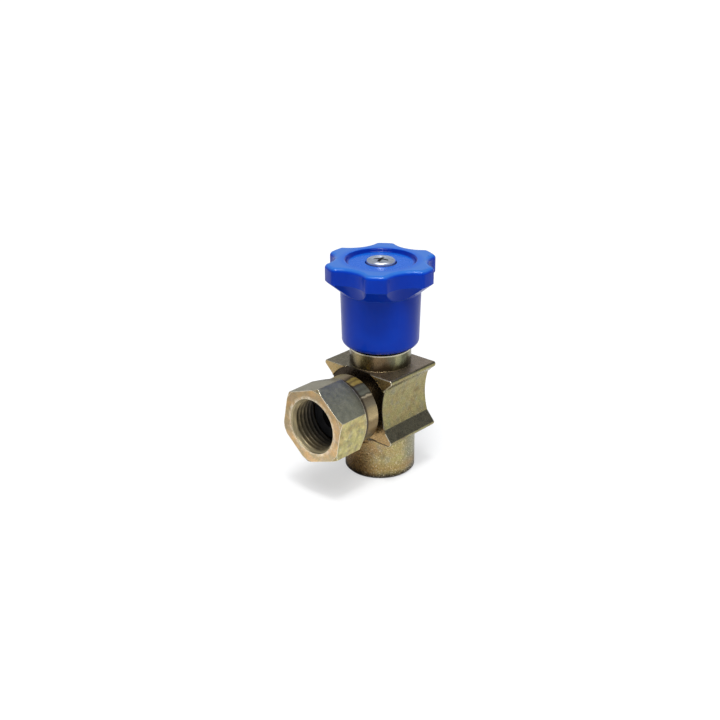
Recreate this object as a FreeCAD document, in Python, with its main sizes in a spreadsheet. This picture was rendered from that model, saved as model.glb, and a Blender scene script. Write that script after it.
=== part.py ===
import FreeCAD, Part
import math
import os
import Sketcher


# Gauge shutoff valve: a forged block with a star knob on a rising stem, a female
# port below and a swivel nut that takes the gauge. Millimetres, +Z up. The origin
# is the middle of the bottom port's face, +Z runs up the stem, and the swivel
# nut's axis runs along -Y.
SIZES = [
    # G 1/2 thread of both ports
    ("thread_radius", 10.4775, "G 1/2 major radius"),
    ("thread_depth", 1.162, "from the major to the core radius"),
    # forged block
    ("block_half_width", 16.5, "X, at the four arms"),
    ("block_length", 26.1, "Y"),
    ("block_bottom", 17.0, "length of the boss below the arms"),
    ("block_height", 26.7, "from the underside of the arms to the top face"),
    ("top_land", 1.5, "upright edge of the two upper arms"),
    ("arm_land", 0.7, "upright edge of the two lower arms"),
    ("arm_chamfer", 0.9, "chamfer below each lower arm"),
    ("flare_width", 3.5, "X run of the sloped arm facets"),
    ("top_flare_height", 3.3, "Z run of the upper arms' sloped facets"),
    ("flare_height", 4.1, "Z run of the lower arms' sloped facets"),
    ("waist_radius", 26.0, "radius of the concave side"),
    ("top_edge_round", 0.85, "rounding of the upper arms' edges"),
    ("edge_round", 0.5, "rounding of the lower arms' edges"),
    ("end_round", 0.3, "rounding round the front and the back face"),
    # bottom boss and port
    ("boss_radius", 13.5, ""),
    ("boss_chamfer", 0.8, ""),
    ("port_depth", 14.0, "full thread depth of the bottom port"),
    ("drill_slope", 0.6, "rise over run of the drill cone"),
    # flow path
    ("orifice_radius", 1.75, ""),
    ("orifice_length", 3.9, "from the seat's foot to the start of its cone"),
    ("seat_cone_depth", 1.7, ""),
    ("seat_floor_wall", 2.0, "from the drill cone's end to the seat's foot"),
    ("seat_pocket_radius", 4.6, ""),
    ("chamber_radius", 5.2, ""),
    ("press_gap", 0.05, "radial gap of pieces pressed or screwed together"),
    ("slide_gap", 0.2, "radial gap of pieces that turn or slide"),
    # gauge side
    ("nut_axis_rise", 12.6, "above the underside of the arms"),
    ("spot_face_radius", 15.3, ""),
    ("spot_face_depth", 0.5, ""),
    ("spigot_radius", 9.0, "where the nut turns on it"),
    ("spigot_shoulder", 2.0, "from the spigot's M14 thread out to its shoulder"),
    ("side_wall", 1.3, "from the chamber to the spigot's bore"),
    ("side_passage_radius", 2.5, ""),
    ("spigot_reach", 12.95, "from the spot face to the gauge's seat"),
    ("spigot_bore_radius", 3.0, ""),
    ("spigot_socket_flats", 8.0, "hexagon socket to turn the spigot"),
    ("spigot_socket_depth", 5.0, ""),
    ("spigot_chamfer", 0.6, ""),
    ("spigot_seal_rim", 0.45, "metal round the shoulder's seal"),
    ("seal_thickness", 0.8, "height of the two shoulder seals"),
    ("wire_radius", 0.8, ""),
    ("wire_inset", 3.5, "from the nut's rear to the wire"),
    ("wire_side_gap", 0.1, ""),
    ("nut_stand_off", 3.45, "from the spot face to the nut's rear"),
    ("nut_length", 21.9, ""),
    ("nut_collar_length", 6.9, "round part behind the hexagon"),
    ("nut_flats", 27.0, "across flats"),
    ("nut_turn", 19.5, "degrees that the hexagon is turned at rest"),
    ("nut_edge_round", 0.3, "the hexagon's long edges"),
    ("nut_collar_step", 0.3, "from the flats down to the collar"),
    ("nut_collar_round", 0.6, ""),
    ("nut_front_chamfer_width", 1.19, "in from the hexagon's corners"),
    ("nut_front_chamfer_depth", 0.75, ""),
    ("nut_rear_chamfer", 2.3, "in from the hexagon's corners, at 45 degrees"),
    ("gasket_thickness", 1.5, ""),
    ("gasket_bore_radius", 4.9, ""),
    ("gasket_edge_gap", 0.25, ""),
    ("gasket_end_gap", 0.3, "from the gasket to the nut's thread"),
    # bonnet
    ("bore_wall", 0.7, "from the side bore up to the bonnet's bore"),
    ("bonnet_end_gap", 0.2, ""),
    ("bonnet_radius", 11.7, "the visible neck"),
    ("bonnet_shoulder", 2.7, "from the M18 thread into the block out to the neck"),
    ("bonnet_seal_rim", 1.1, "metal round the bonnet's seal"),
    ("neck_height", 6.9, "from the block to the collar's top"),
    ("bonnet_chamfer", 0.6, ""),
    ("bonnet_flats", 19.0, "hidden hexagon"),
    ("bonnet_hexagon_height", 5.0, ""),
    ("bonnet_top_height", 6.5, "round part above the hexagon"),
    ("bonnet_top_radius", 8.6, ""),
    ("guide_length", 2.4, "close bore above the gland"),
    ("wiper_height", 1.8, ""),
    ("wiper_radius", 7.0, ""),
    # gland
    ("retainer_thickness", 1.6, ""),
    ("backup_thickness", 1.0, ""),
    ("o_ring_section_radius", 0.8, ""),
    ("o_ring_play", 0.4, "gland's width beyond the ring's section"),
    ("ring_gap", 0.06, "play between the rings of the gland"),
    # stem and ball
    ("ball_radius", 3.0, ""),
    ("ball_seat_gap", 0.03, "the ball stands this far off its seat at rest"),
    ("ball_pocket_gap", 0.1, ""),
    ("lip_drop", 0.3, "how far the stem's lip reaches below the ball's middle"),
    ("lip_wall", 0.4, "metal round the ball's pocket at the lip"),
    ("stem_collar_step", 0.8, "from the lip out to the collar"),
    ("stem_collar_slope", 2.0, "rise over run between lip and collar"),
    ("full_lift", 4.0, "rise of the stem from shut to open"),
    ("lift_clearance", 1.2, "left above the collar at full lift"),
    ("stem_shank_radius", 3.5, ""),
    ("stem_thread_gap", 0.6, "from the guide to the stem's thread when shut"),
    ("stem_thread_radius", 5.0, "M10 thread"),
    ("drive_flats", 7.0, "square at the stem's top"),
    ("stem_recess", 1.0, "from the insert's top down to the stem's"),
    ("screw_thread_radius", 3.0, "M6"),
    ("screw_hole_depth", 14.0, ""),
    # knob
    ("skirt_gap", 0.7, "from the neck's top up to the skirt"),
    ("skirt_clearance", 1.33, "from the bonnet's hexagon corners out to the skirt"),
    ("skirt_wall", 2.3, ""),
    ("skirt_taper", 0.5, "how much wider the skirt is at the head"),
    ("skirt_round", 2.0, ""),
    ("ceiling_gap", 3.0, "from the bonnet's top up to the insert"),
    ("insert_flats", 14.0, "hexagon insert moulded into the knob"),
    ("insert_height", 14.0, ""),
    ("screw_well_depth", 4.9, "from the knob's top down to the insert"),
    ("lobe_height", 6.3, ""),
    ("head_spread", 5.3, "height over which the skirt spreads to the lobes"),
    ("lobe_radius", 21.3, ""),
    ("scallop_floor_radius", 17.4, "distance from the axis to the scallops"),
    ("scallop_radius", 11.2, ""),
    ("scallop_margin", 0.1, "from the skirt to the widened scallop"),
    ("knob_turn", 6.0, "degrees that the lobes are turned at rest"),
    ("lobe_count", 6, ""),
    ("lobe_corner_round", 2.0, ""),
    ("lobe_top_round", 1.6, ""),
    ("dish_radius", 13.15, ""),
    ("dish_depth", 1.3, ""),
    ("dish_slope", 0.6, "how far the dish narrows to its floor"),
    ("dish_rim_round", 0.9, ""),
    ("dish_floor_round", 0.7, ""),
    # screw and washer
    ("well_gap", 0.4, "round the washer"),
    ("washer_thickness", 1.0, ""),
    ("washer_margin", 0.1, "how far the washer stands out past the head"),
    ("screw_head_radius", 5.4, ""),
    ("screw_head_height", 3.9, ""),
    ("screw_head_dome", 0.9, ""),
    ("screw_length", 13.0, ""),
    ("recess_arm", 2.9, "half length of the cross recess"),
    ("recess_width", 1.2, ""),
    ("recess_depth", 2.0, ""),
]

SQRT2 = math.sqrt(2)
SQRT3 = math.sqrt(3)
ROUND_SHARE = 0.9
EDGE_SHARE = 0.72
NEAR = 0.01
PARALLEL_SHARE = 0.999


class Size:
    """A length with the sheet formula that it follows."""

    def __init__(self, value, formula):
        self.value = float(value)
        self.formula = formula

    @staticmethod
    def of(other):
        if isinstance(other, Size):
            return other
        return Size(other, repr(float(other)))

    def __add__(self, other):
        other = Size.of(other)
        return Size(self.value + other.value, f"({self.formula} + {other.formula})")

    def __sub__(self, other):
        other = Size.of(other)
        return Size(self.value - other.value, f"({self.formula} - {other.formula})")

    def __mul__(self, other):
        other = Size.of(other)
        return Size(self.value * other.value, f"({self.formula} * {other.formula})")

    def __truediv__(self, other):
        other = Size.of(other)
        return Size(self.value / other.value, f"({self.formula} / {other.formula})")

    def __neg__(self):
        return Size(0, "0") - self

    def at_most(self, other):
        other = Size.of(other)
        return Size(min(self.value, other.value), f"min({self.formula}; {other.formula})")

    __radd__ = __add__
    __rmul__ = __mul__

    def __rsub__(self, other):
        return Size.of(other) - self

    def __rtruediv__(self, other):
        return Size.of(other) / self


class Sizes:
    """The driving dimensions, read from the sheet by name."""


def make_sheet(doc):
    sheet = doc.addObject("Spreadsheet::Sheet", "Sizes")
    sizes = Sizes()
    for row, (name, value, note) in enumerate(SIZES, start=1):
        sheet.set(f"A{row}", name)
        sheet.set(f"B{row}", str(value))
        sheet.set(f"C{row}", note)
        sheet.setAlias(f"B{row}", name)
        setattr(sizes, name, Size(value, f"Sizes.{name}"))
    doc.recompute()
    return sizes


doc = FreeCAD.newDocument("gauge_valve")
S = make_sheet(doc)
bodies = []

# Heights and stations that follow from the sizes, from the bottom port upwards
block_top = S.block_bottom + S.block_height
nut_axis_height = S.block_bottom + S.nut_axis_rise
side_thread_radius = S.spigot_radius - S.spigot_shoulder
thread_core = S.thread_radius - S.thread_depth
cone_top = S.port_depth + (thread_core - S.orifice_radius) * S.drill_slope
seat_foot = cone_top + S.seat_floor_wall
seat_edge = seat_foot + S.orifice_length
chamber_floor = seat_edge + S.seat_cone_depth
ball_height = seat_edge - S.orifice_radius + (S.ball_radius + S.ball_seat_gap) * SQRT2

# Bonnet and gland
bonnet_thread_radius = S.bonnet_radius - S.bonnet_shoulder
bonnet_floor = nut_axis_height + side_thread_radius + S.bore_wall
gland_floor = bonnet_floor + S.bonnet_end_gap
retainer_top = gland_floor + S.retainer_thickness
lower_backup_top = retainer_top + S.ring_gap + S.backup_thickness
o_ring_middle = lower_backup_top + S.ring_gap + S.o_ring_section_radius
o_ring_top = o_ring_middle + S.o_ring_section_radius
gland_ceiling = o_ring_top + S.ring_gap + S.backup_thickness
gland_radius = S.stem_shank_radius + S.o_ring_section_radius * 2 + S.o_ring_play
guide_top = gland_ceiling + S.guide_length
collar_top = block_top + S.neck_height
hexagon_top = collar_top + S.bonnet_hexagon_height
bonnet_top = hexagon_top + S.bonnet_top_height
bonnet_seal_outer = S.bonnet_radius - S.bonnet_seal_rim

# Knob, insert and screw
skirt_bottom = collar_top + S.skirt_gap
skirt_bore = S.bonnet_flats / SQRT3 + S.skirt_clearance
skirt_radius = skirt_bore + S.skirt_wall
skirt_top_radius = skirt_radius + S.skirt_taper
insert_bottom = bonnet_top + S.ceiling_gap
insert_top = insert_bottom + S.insert_height
stem_top = insert_top - S.stem_recess
screw_seat = insert_top + S.washer_thickness
knob_top = insert_top + S.screw_well_depth
lobe_bottom = knob_top - S.lobe_height
head_start = lobe_bottom - S.head_spread
washer_radius = S.screw_head_radius + S.washer_margin

# Gauge side, as distances from the stem's axis
spot_face = S.block_length / 2 - S.spot_face_depth
side_thread_floor = S.chamber_radius + S.side_wall
spigot_nose = spot_face + S.spigot_reach
spigot_seal_outer = S.spigot_radius - S.spigot_seal_rim
nut_rear = spot_face + S.nut_stand_off
nut_hexagon_rear = nut_rear + S.nut_collar_length
nut_front = nut_rear + S.nut_length
nut_thread_end = spigot_nose + S.gasket_thickness + S.gasket_end_gap
wire_station = nut_rear + S.wire_inset
wire_groove_low = wire_station - S.wire_radius - S.wire_side_gap
wire_groove_high = wire_station + S.wire_radius + S.wire_side_gap


def bind(thing, path, size):
    thing.setExpression(path, Size.of(size).formula)


def make_body(name):
    body = doc.addObject("PartDesign::Body", name)
    body.Label = name
    bodies.append(body)
    return body


def lay_on_nut_axis(body):
    """Turn a body so that its own Z runs along the swivel nut's axis."""
    body.Placement = FreeCAD.Placement(
        FreeCAD.Vector(0, 0, nut_axis_height.value),
        FreeCAD.Rotation(FreeCAD.Vector(1, 0, 0), 90))
    bind(body, "Placement.Base.z", nut_axis_height)


def turn_with_knob(body):
    """Turn a body about the stem axis so that it lines up with the knob's lobes."""
    angle = S.knob_turn - 180 / S.lobe_count
    body.Placement = FreeCAD.Placement(
        FreeCAD.Vector(0, 0, 0), FreeCAD.Rotation(FreeCAD.Vector(0, 0, 1), angle.value))
    bind(body, "Placement.Rotation.Angle", angle)


def make_sketch(body, name, role="XZ_Plane", shift=None, turn=None):
    """A sketch on one of the body's origin planes. shift is along its x, y and normal."""
    sketch = body.newObject("Sketcher::SketchObject", name)
    plane = [o for o in body.Origin.OriginFeatures if o.Role == role][0]
    sketch.AttachmentSupport = [(plane, "")]
    sketch.MapMode = "FlatFace"
    shift = [Size.of(v) for v in (shift or (0, 0, 0))]
    angle = Size.of(turn or 0)
    sketch.AttachmentOffset = FreeCAD.Placement(
        FreeCAD.Vector(*[v.value for v in shift]),
        FreeCAD.Rotation(FreeCAD.Vector(0, 0, 1), angle.value))
    for axis, value in zip("xyz", shift):
        if value.value:
            bind(sketch, f"AttachmentOffset.Base.{axis}", value)
    if turn is not None:
        bind(sketch, "AttachmentOffset.Rotation.Angle", angle)
    return sketch


def pin_point(sketch, geometry, end, axis, size):
    """Hold one coordinate of a sketch point at a size."""
    if size.value == 0:
        line = -2 if axis == "X" else -1
        sketch.addConstraint(Sketcher.Constraint("PointOnObject", geometry, end, line))
        return
    kind = "Distance" + axis
    index = sketch.addConstraint(
        Sketcher.Constraint(kind, -1, 1, geometry, end, size.value))
    bind(sketch, f"Constraints[{index}]", size)


def arc_middle(start, end, radius, left):
    """The middle of the minor arc that bulges to the left or right of its chord."""
    chord = end - start
    normal = FreeCAD.Vector(-chord.y, chord.x, 0).normalize()
    if not left:
        normal = -normal
    rise = radius - math.sqrt(radius ** 2 - chord.Length ** 2 / 4)
    return (start + end) / 2 + normal * rise


def draw_outline(sketch, points, arcs=None):
    """A closed outline. arcs maps a point's index to the radius of the arc that
    follows it: positive bulges to the left of the way, negative to the right."""
    arcs = arcs or {}
    points = [(Size.of(x), Size.of(y)) for x, y in points]
    places = [FreeCAD.Vector(x.value, y.value, 0) for x, y in points]
    count = len(points)
    ends = []
    for i in range(count):
        start = places[i]
        end = places[(i + 1) % count]
        if i not in arcs:
            index = sketch.addGeometry(Part.LineSegment(start, end), False)
            ends.append((index, 1, 2))
            continue
        radius = Size.of(arcs[i])
        middle = arc_middle(start, end, abs(radius.value), radius.value > 0)
        index = sketch.addGeometry(Part.Arc(start, middle, end), False)
        forward = sketch.getPoint(index, 1).distanceToPoint(start) < NEAR
        ends.append((index, 1, 2) if forward else (index, 2, 1))
        held = sketch.addConstraint(
            Sketcher.Constraint("Radius", index, abs(radius.value)))
        bind(sketch, f"Constraints[{held}]", radius if radius.value > 0 else -radius)
    for i in range(count):
        index, first, last = ends[i]
        after, after_first, after_last = ends[(i + 1) % count]
        sketch.addConstraint(
            Sketcher.Constraint("Coincident", index, last, after, after_first))
        pin_point(sketch, index, first, "X", points[i][0])
        pin_point(sketch, index, first, "Y", points[i][1])


def draw_circle(sketch, radius):
    index = sketch.addGeometry(
        Part.Circle(FreeCAD.Vector(0, 0, 0), FreeCAD.Vector(0, 0, 1), radius.value), False)
    sketch.addConstraint(Sketcher.Constraint("Coincident", index, 3, -1, 1))
    held = sketch.addConstraint(Sketcher.Constraint("Radius", index, radius.value))
    bind(sketch, f"Constraints[{held}]", radius)


def hexagon(flats):
    """Six corners; the first lies on the sketch's x axis."""
    corner = flats / SQRT3
    angles = [math.radians(60 * k) for k in range(6)]
    return [(corner * round(math.cos(a), 12), corner * round(math.sin(a), 12))
            for a in angles]


def revolve(body, name, points, arcs=None, axis="V_Axis", **where):
    """Add a ring or a turned form round the body's own axis."""
    sketch = make_sketch(body, name + "_profile", **where)
    draw_outline(sketch, points, arcs)
    feature = body.newObject("PartDesign::Revolution", name)
    feature.Profile = sketch
    feature.ReferenceAxis = (sketch, [axis])
    feature.Angle = 360
    return feature


def turn_out(body, name, points, arcs=None, axis="V_Axis", **where):
    """Cut a turned form out of the body."""
    sketch = make_sketch(body, name + "_profile", **where)
    draw_outline(sketch, points, arcs)
    feature = body.newObject("PartDesign::Groove", name)
    feature.Profile = sketch
    feature.ReferenceAxis = (sketch, [axis])
    feature.Angle = 360
    return feature


def pad(body, name, sketch, length):
    feature = body.newObject("PartDesign::Pad", name)
    feature.Profile = sketch
    feature.Length = length.value
    bind(feature, "Length", length)
    return feature


def pocket_up(body, name, sketch, depth):
    """Cut from the sketch towards +Z of the body."""
    feature = body.newObject("PartDesign::Pocket", name)
    feature.Profile = sketch
    feature.Length = depth.value
    feature.Reversed = True
    bind(feature, "Length", depth)
    return feature


def edge_names(shape, test):
    """Names of the edges that pass a test."""
    return [f"Edge{i}" for i, edge in enumerate(shape.Edges, start=1) if test(edge)]


def round_edges(body, name, base, radius, test):
    doc.recompute()
    feature = body.newObject("PartDesign::Fillet", name)
    feature.Base = (base, edge_names(base.Shape, test))
    feature.Radius = radius.value
    bind(feature, "Radius", radius)
    return feature


def runs_along(edge, axis):
    """True for a straight edge along X, Y or Z."""
    if not isinstance(edge.Curve, Part.Line):
        return False
    return abs(getattr(edge.Curve.Direction, axis)) > PARALLEL_SHARE


def is_circle(edge, radius, height):
    """True for a round edge of that radius and height about the body's own Z."""
    if not isinstance(edge.Curve, Part.Circle):
        return False
    level = abs(edge.Curve.Center.z - height.value) < NEAR
    return level and abs(edge.Curve.Radius - radius.value) < NEAR


def polar(body, name, feature, count):
    pattern = body.newObject("PartDesign::PolarPattern", name)
    axis = [o for o in body.Origin.OriginFeatures if o.Role == "Z_Axis"][0]
    pattern.Originals = [feature]
    pattern.Axis = (axis, [""])
    pattern.Angle = 360
    pattern.Occurrences = int(count.value)
    bind(pattern, "Occurrences", count)
    body.Tip = pattern
    return pattern


def ring(name, inner, outer, low, high, on_nut_axis=False):
    """A flat ring with a square section."""
    body = make_body(name)
    if on_nut_axis:
        lay_on_nut_axis(body)
    revolve(body, name + "_ring", [(inner, low), (outer, low), (outer, high), (inner, high)])
    return body


def round_ring(name, middle, section, height, on_nut_axis=False):
    """A ring of round section."""
    body = make_body(name)
    if on_nut_axis:
        lay_on_nut_axis(body)
    sketch = make_sketch(body, name + "_section")
    index = sketch.addGeometry(
        Part.Circle(FreeCAD.Vector(middle.value, height.value, 0),
                    FreeCAD.Vector(0, 0, 1), section.value), False)
    pin_point(sketch, index, 3, "X", middle)
    pin_point(sketch, index, 3, "Y", height)
    held = sketch.addConstraint(Sketcher.Constraint("Radius", index, section.value))
    bind(sketch, f"Constraints[{held}]", section)
    feature = body.newObject("PartDesign::Revolution", name + "_ring")
    feature.Profile = sketch
    feature.ReferenceAxis = (sketch, ["V_Axis"])
    feature.Angle = 360
    return body


def make_valve_body():
    """The forged block with two arms a side, the boss below and every bore."""
    body = make_body("valve_body")
    arm = S.block_half_width
    neck = arm - S.flare_width
    upper = block_top - S.top_land
    lower = S.block_bottom + S.arm_chamfer + S.arm_land
    right = [
        (arm - S.arm_chamfer, S.block_bottom),
        (arm, S.block_bottom + S.arm_chamfer),
        (arm, lower),
        (neck, lower + S.flare_height),
        (neck, upper - S.top_flare_height),
        (arm, upper),
        (arm, block_top),
    ]
    left = [(-x, z) for x, z in reversed(right)]
    sketch = make_sketch(body, "block_outline", shift=(0, 0, -S.block_length / 2))
    draw_outline(sketch, right + left, arcs={3: S.waist_radius, 9: S.waist_radius})
    block = pad(body, "block", sketch, S.block_length)
    underside = S.block_bottom.value + NEAR
    land_foot = upper.value - NEAR

    def upper_edge(edge):
        return runs_along(edge, "y") and edge.BoundBox.ZMin > land_foot

    def lower_edge(edge):
        return runs_along(edge, "y") and underside < edge.BoundBox.ZMax < land_foot

    top_round = S.top_edge_round.at_most(S.top_land * EDGE_SHARE)
    round_off = S.edge_round.at_most(S.arm_land * EDGE_SHARE)
    upper_arms = round_edges(body, "upper_arm_edges", block, top_round, upper_edge)
    forged = round_edges(body, "lower_arm_edges", upper_arms, round_off, lower_edge)
    end = S.block_length.value / 2

    def round_the_ends(edge):
        box = edge.BoundBox
        return abs(abs(box.YMin) - end) < NEAR and abs(abs(box.YMax) - end) < NEAR \
            and box.YLength < NEAR and box.ZMax > underside

    round_edges(body, "end_edges", forged, S.end_round.at_most(round_off * ROUND_SHARE),
                round_the_ends)
    outer = S.boss_radius
    inside = S.block_bottom + S.arm_chamfer
    revolve(body, "boss", [
        (0, 0), (outer - S.boss_chamfer, 0), (outer, S.boss_chamfer),
        (outer, inside), (0, inside)])
    past_top = block_top + S.edge_round
    turn_out(body, "stem_axis_bores", [
        (0, -S.boss_chamfer),
        (S.thread_radius, -S.boss_chamfer),
        (S.thread_radius, S.port_depth),
        (thread_core, S.port_depth),
        (S.orifice_radius, cone_top),
        (S.orifice_radius, seat_foot),
        (S.seat_pocket_radius, seat_foot),
        (S.seat_pocket_radius, chamber_floor),
        (S.chamber_radius, chamber_floor),
        (S.chamber_radius, bonnet_floor),
        (bonnet_thread_radius, bonnet_floor),
        (bonnet_thread_radius, past_top),
        (0, past_top)])
    outside = S.block_length / 2 + S.block_half_width
    turn_out(body, "nut_axis_bores", [
        (0, 0),
        (0, S.side_passage_radius),
        (-side_thread_floor, S.side_passage_radius),
        (-side_thread_floor, side_thread_radius),
        (-spot_face, side_thread_radius),
        (-spot_face, S.spot_face_radius),
        (-outside, S.spot_face_radius),
        (-outside, 0)],
        axis="H_Axis", role="YZ_Plane", shift=(0, nut_axis_height, 0))
    return body


def make_valve_seat():
    """Pressed-in ring with the orifice and a seat cone at 45 degrees."""
    body = make_body("valve_seat")
    outer = S.seat_pocket_radius - S.press_gap
    mouth = S.orifice_radius + S.seat_cone_depth
    revolve(body, "seat_ring", [
        (S.orifice_radius, seat_foot),
        (outer, seat_foot),
        (outer, chamber_floor),
        (mouth, chamber_floor),
        (S.orifice_radius, seat_edge)])
    return body


def make_spigot():
    """Screwed into the block; carries the swivel nut and the gauge's seat."""
    body = make_body("swivel_spigot")
    lay_on_nut_axis(body)
    thread = side_thread_radius - S.press_gap
    seal_roof = spot_face + S.seal_thickness
    groove_floor = S.spigot_radius - S.wire_radius - S.wire_side_gap
    revolve(body, "spigot_turned", [
        (S.spigot_bore_radius, side_thread_floor),
        (thread - S.spigot_chamfer, side_thread_floor),
        (thread, side_thread_floor + S.spigot_chamfer),
        (thread, seal_roof),
        (spigot_seal_outer, seal_roof),
        (spigot_seal_outer, spot_face),
        (S.spigot_radius, spot_face),
        (S.spigot_radius, wire_groove_low),
        (groove_floor, wire_groove_low),
        (groove_floor, wire_groove_high),
        (S.spigot_radius, wire_groove_high),
        (S.spigot_radius, spigot_nose - S.spigot_chamfer),
        (S.spigot_radius - S.spigot_chamfer, spigot_nose),
        (S.spigot_bore_radius, spigot_nose)])
    sketch = make_sketch(body, "socket_outline", role="XY_Plane",
                         shift=(0, 0, spigot_nose - S.spigot_socket_depth))
    draw_outline(sketch, hexagon(S.spigot_socket_flats))
    pocket_up(body, "spigot_socket", sketch, S.spigot_socket_depth)
    return body


def make_swivel_nut():
    """Hexagon nut with a round collar that the retaining wire holds."""
    body = make_body("swivel_nut")
    lay_on_nut_axis(body)
    corner = S.nut_flats / SQRT3
    sketch = make_sketch(body, "nut_outline", role="XY_Plane",
                         shift=(0, 0, nut_hexagon_rear), turn=S.nut_turn)
    draw_outline(sketch, hexagon(S.nut_flats))
    hexagon_pad = pad(body, "nut_hexagon", sketch, nut_front - nut_hexagon_rear)
    round_edges(body, "nut_long_edges", hexagon_pad, S.nut_edge_round,
                lambda edge: runs_along(edge, "z"))
    depth = S.nut_front_chamfer_depth
    front_start = corner - S.nut_front_chamfer_width
    beyond = corner + depth
    drop = (beyond - front_start) * depth / S.nut_front_chamfer_width
    turn_out(body, "nut_front_chamfer", [
        (front_start, nut_front),
        (beyond, nut_front - drop),
        (beyond, nut_front + depth),
        (front_start, nut_front + depth)])
    rear_start = corner - S.nut_rear_chamfer
    turn_out(body, "nut_rear_chamfer", [
        (rear_start, nut_hexagon_rear),
        (rear_start, nut_hexagon_rear - depth),
        (beyond, nut_hexagon_rear - depth),
        (beyond, nut_hexagon_rear + beyond - rear_start)])
    collar = S.nut_flats / 2 - S.nut_collar_step
    round_off = S.nut_collar_round
    revolve(body, "nut_collar", [
        (S.spigot_radius, nut_rear),
        (collar - round_off, nut_rear),
        (collar, nut_rear + round_off),
        (collar, nut_hexagon_rear + round_off),
        (S.spigot_radius, nut_hexagon_rear + round_off)],
        arcs={1: -round_off})
    bore = S.spigot_radius + S.slide_gap
    groove = S.spigot_radius + S.wire_radius + S.wire_side_gap
    turn_out(body, "nut_bores", [
        (0, nut_rear - round_off),
        (bore, nut_rear - round_off),
        (bore, wire_groove_low),
        (groove, wire_groove_low),
        (groove, wire_groove_high),
        (bore, wire_groove_high),
        (bore, nut_thread_end),
        (S.thread_radius, nut_thread_end),
        (S.thread_radius, nut_front + depth),
        (0, nut_front + depth)])
    return body


def make_gauge_side_rings():
    """The wire that holds the nut, the shoulder seal and the gauge's gasket."""
    round_ring("nut_retaining_wire", S.spigot_radius + S.wire_side_gap / 2,
               S.wire_radius, wire_station, on_nut_axis=True)
    ring("spigot_seal", side_thread_radius, spigot_seal_outer - S.press_gap,
         spot_face, spot_face + S.seal_thickness, on_nut_axis=True)
    ring("gauge_gasket", S.gasket_bore_radius, S.spigot_radius - S.gasket_edge_gap,
         spigot_nose, spigot_nose + S.gasket_thickness, on_nut_axis=True)


def make_bonnet():
    """Screwed into the block's top; guides the stem and holds its seals."""
    body = make_body("bonnet")
    thread = bonnet_thread_radius - S.press_gap
    chamfer = S.bonnet_chamfer
    seal_roof = block_top + S.seal_thickness
    shank_bore = S.stem_shank_radius + S.slide_gap
    thread_bore = S.stem_thread_radius + S.slide_gap
    wiper_floor = bonnet_top - S.wiper_height
    revolve(body, "bonnet_turned", [
        (gland_radius, gland_floor),
        (thread - chamfer, gland_floor),
        (thread, gland_floor + chamfer),
        (thread, seal_roof),
        (bonnet_seal_outer, seal_roof),
        (bonnet_seal_outer, block_top),
        (S.bonnet_radius, block_top),
        (S.bonnet_radius, collar_top - chamfer),
        (S.bonnet_radius - chamfer, collar_top),
        (S.bonnet_top_radius, collar_top),
        (S.bonnet_top_radius, bonnet_top - chamfer),
        (S.bonnet_top_radius - chamfer, bonnet_top),
        (S.wiper_radius, bonnet_top),
        (S.wiper_radius, wiper_floor),
        (thread_bore, wiper_floor),
        (thread_bore, guide_top),
        (shank_bore, guide_top),
        (shank_bore, gland_ceiling),
        (gland_radius, gland_ceiling)])
    sketch = make_sketch(body, "bonnet_hexagon_outline", role="XY_Plane",
                         shift=(0, 0, collar_top))
    draw_outline(sketch, hexagon(S.bonnet_flats))
    draw_circle(sketch, (thread_bore + S.bonnet_top_radius) / 2)
    pad(body, "bonnet_hexagon", sketch, S.bonnet_hexagon_height)
    return body


def make_gland_rings():
    """Rings of the stem's seal, from the bottom of the gland up, and the bonnet's others."""
    inner = S.stem_shank_radius + S.slide_gap
    outer = gland_radius - S.press_gap
    ring("seal_retainer", inner, outer, gland_floor, retainer_top)
    ring("lower_backup_ring", inner, outer, retainer_top + S.ring_gap, lower_backup_top)
    round_ring("stem_o_ring", (S.stem_shank_radius + gland_radius) / 2,
               S.o_ring_section_radius, o_ring_middle)
    ring("upper_backup_ring", inner, outer, o_ring_top + S.ring_gap, gland_ceiling)
    ring("bonnet_seal", bonnet_thread_radius, bonnet_seal_outer - S.press_gap,
         block_top, block_top + S.seal_thickness)
    ring("stem_wiper", S.stem_thread_radius + S.slide_gap, S.wiper_radius - S.press_gap,
         bonnet_top - S.wiper_height, bonnet_top)


def make_ball():
    """The hard ball that closes the seat. It doesn't turn with the stem."""
    body = make_body("sealing_ball")
    radius = S.ball_radius
    revolve(body, "ball", [
        (0, ball_height - radius), (radius, ball_height), (0, ball_height + radius)],
        arcs={0: -radius, 1: -radius})
    return body


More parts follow.
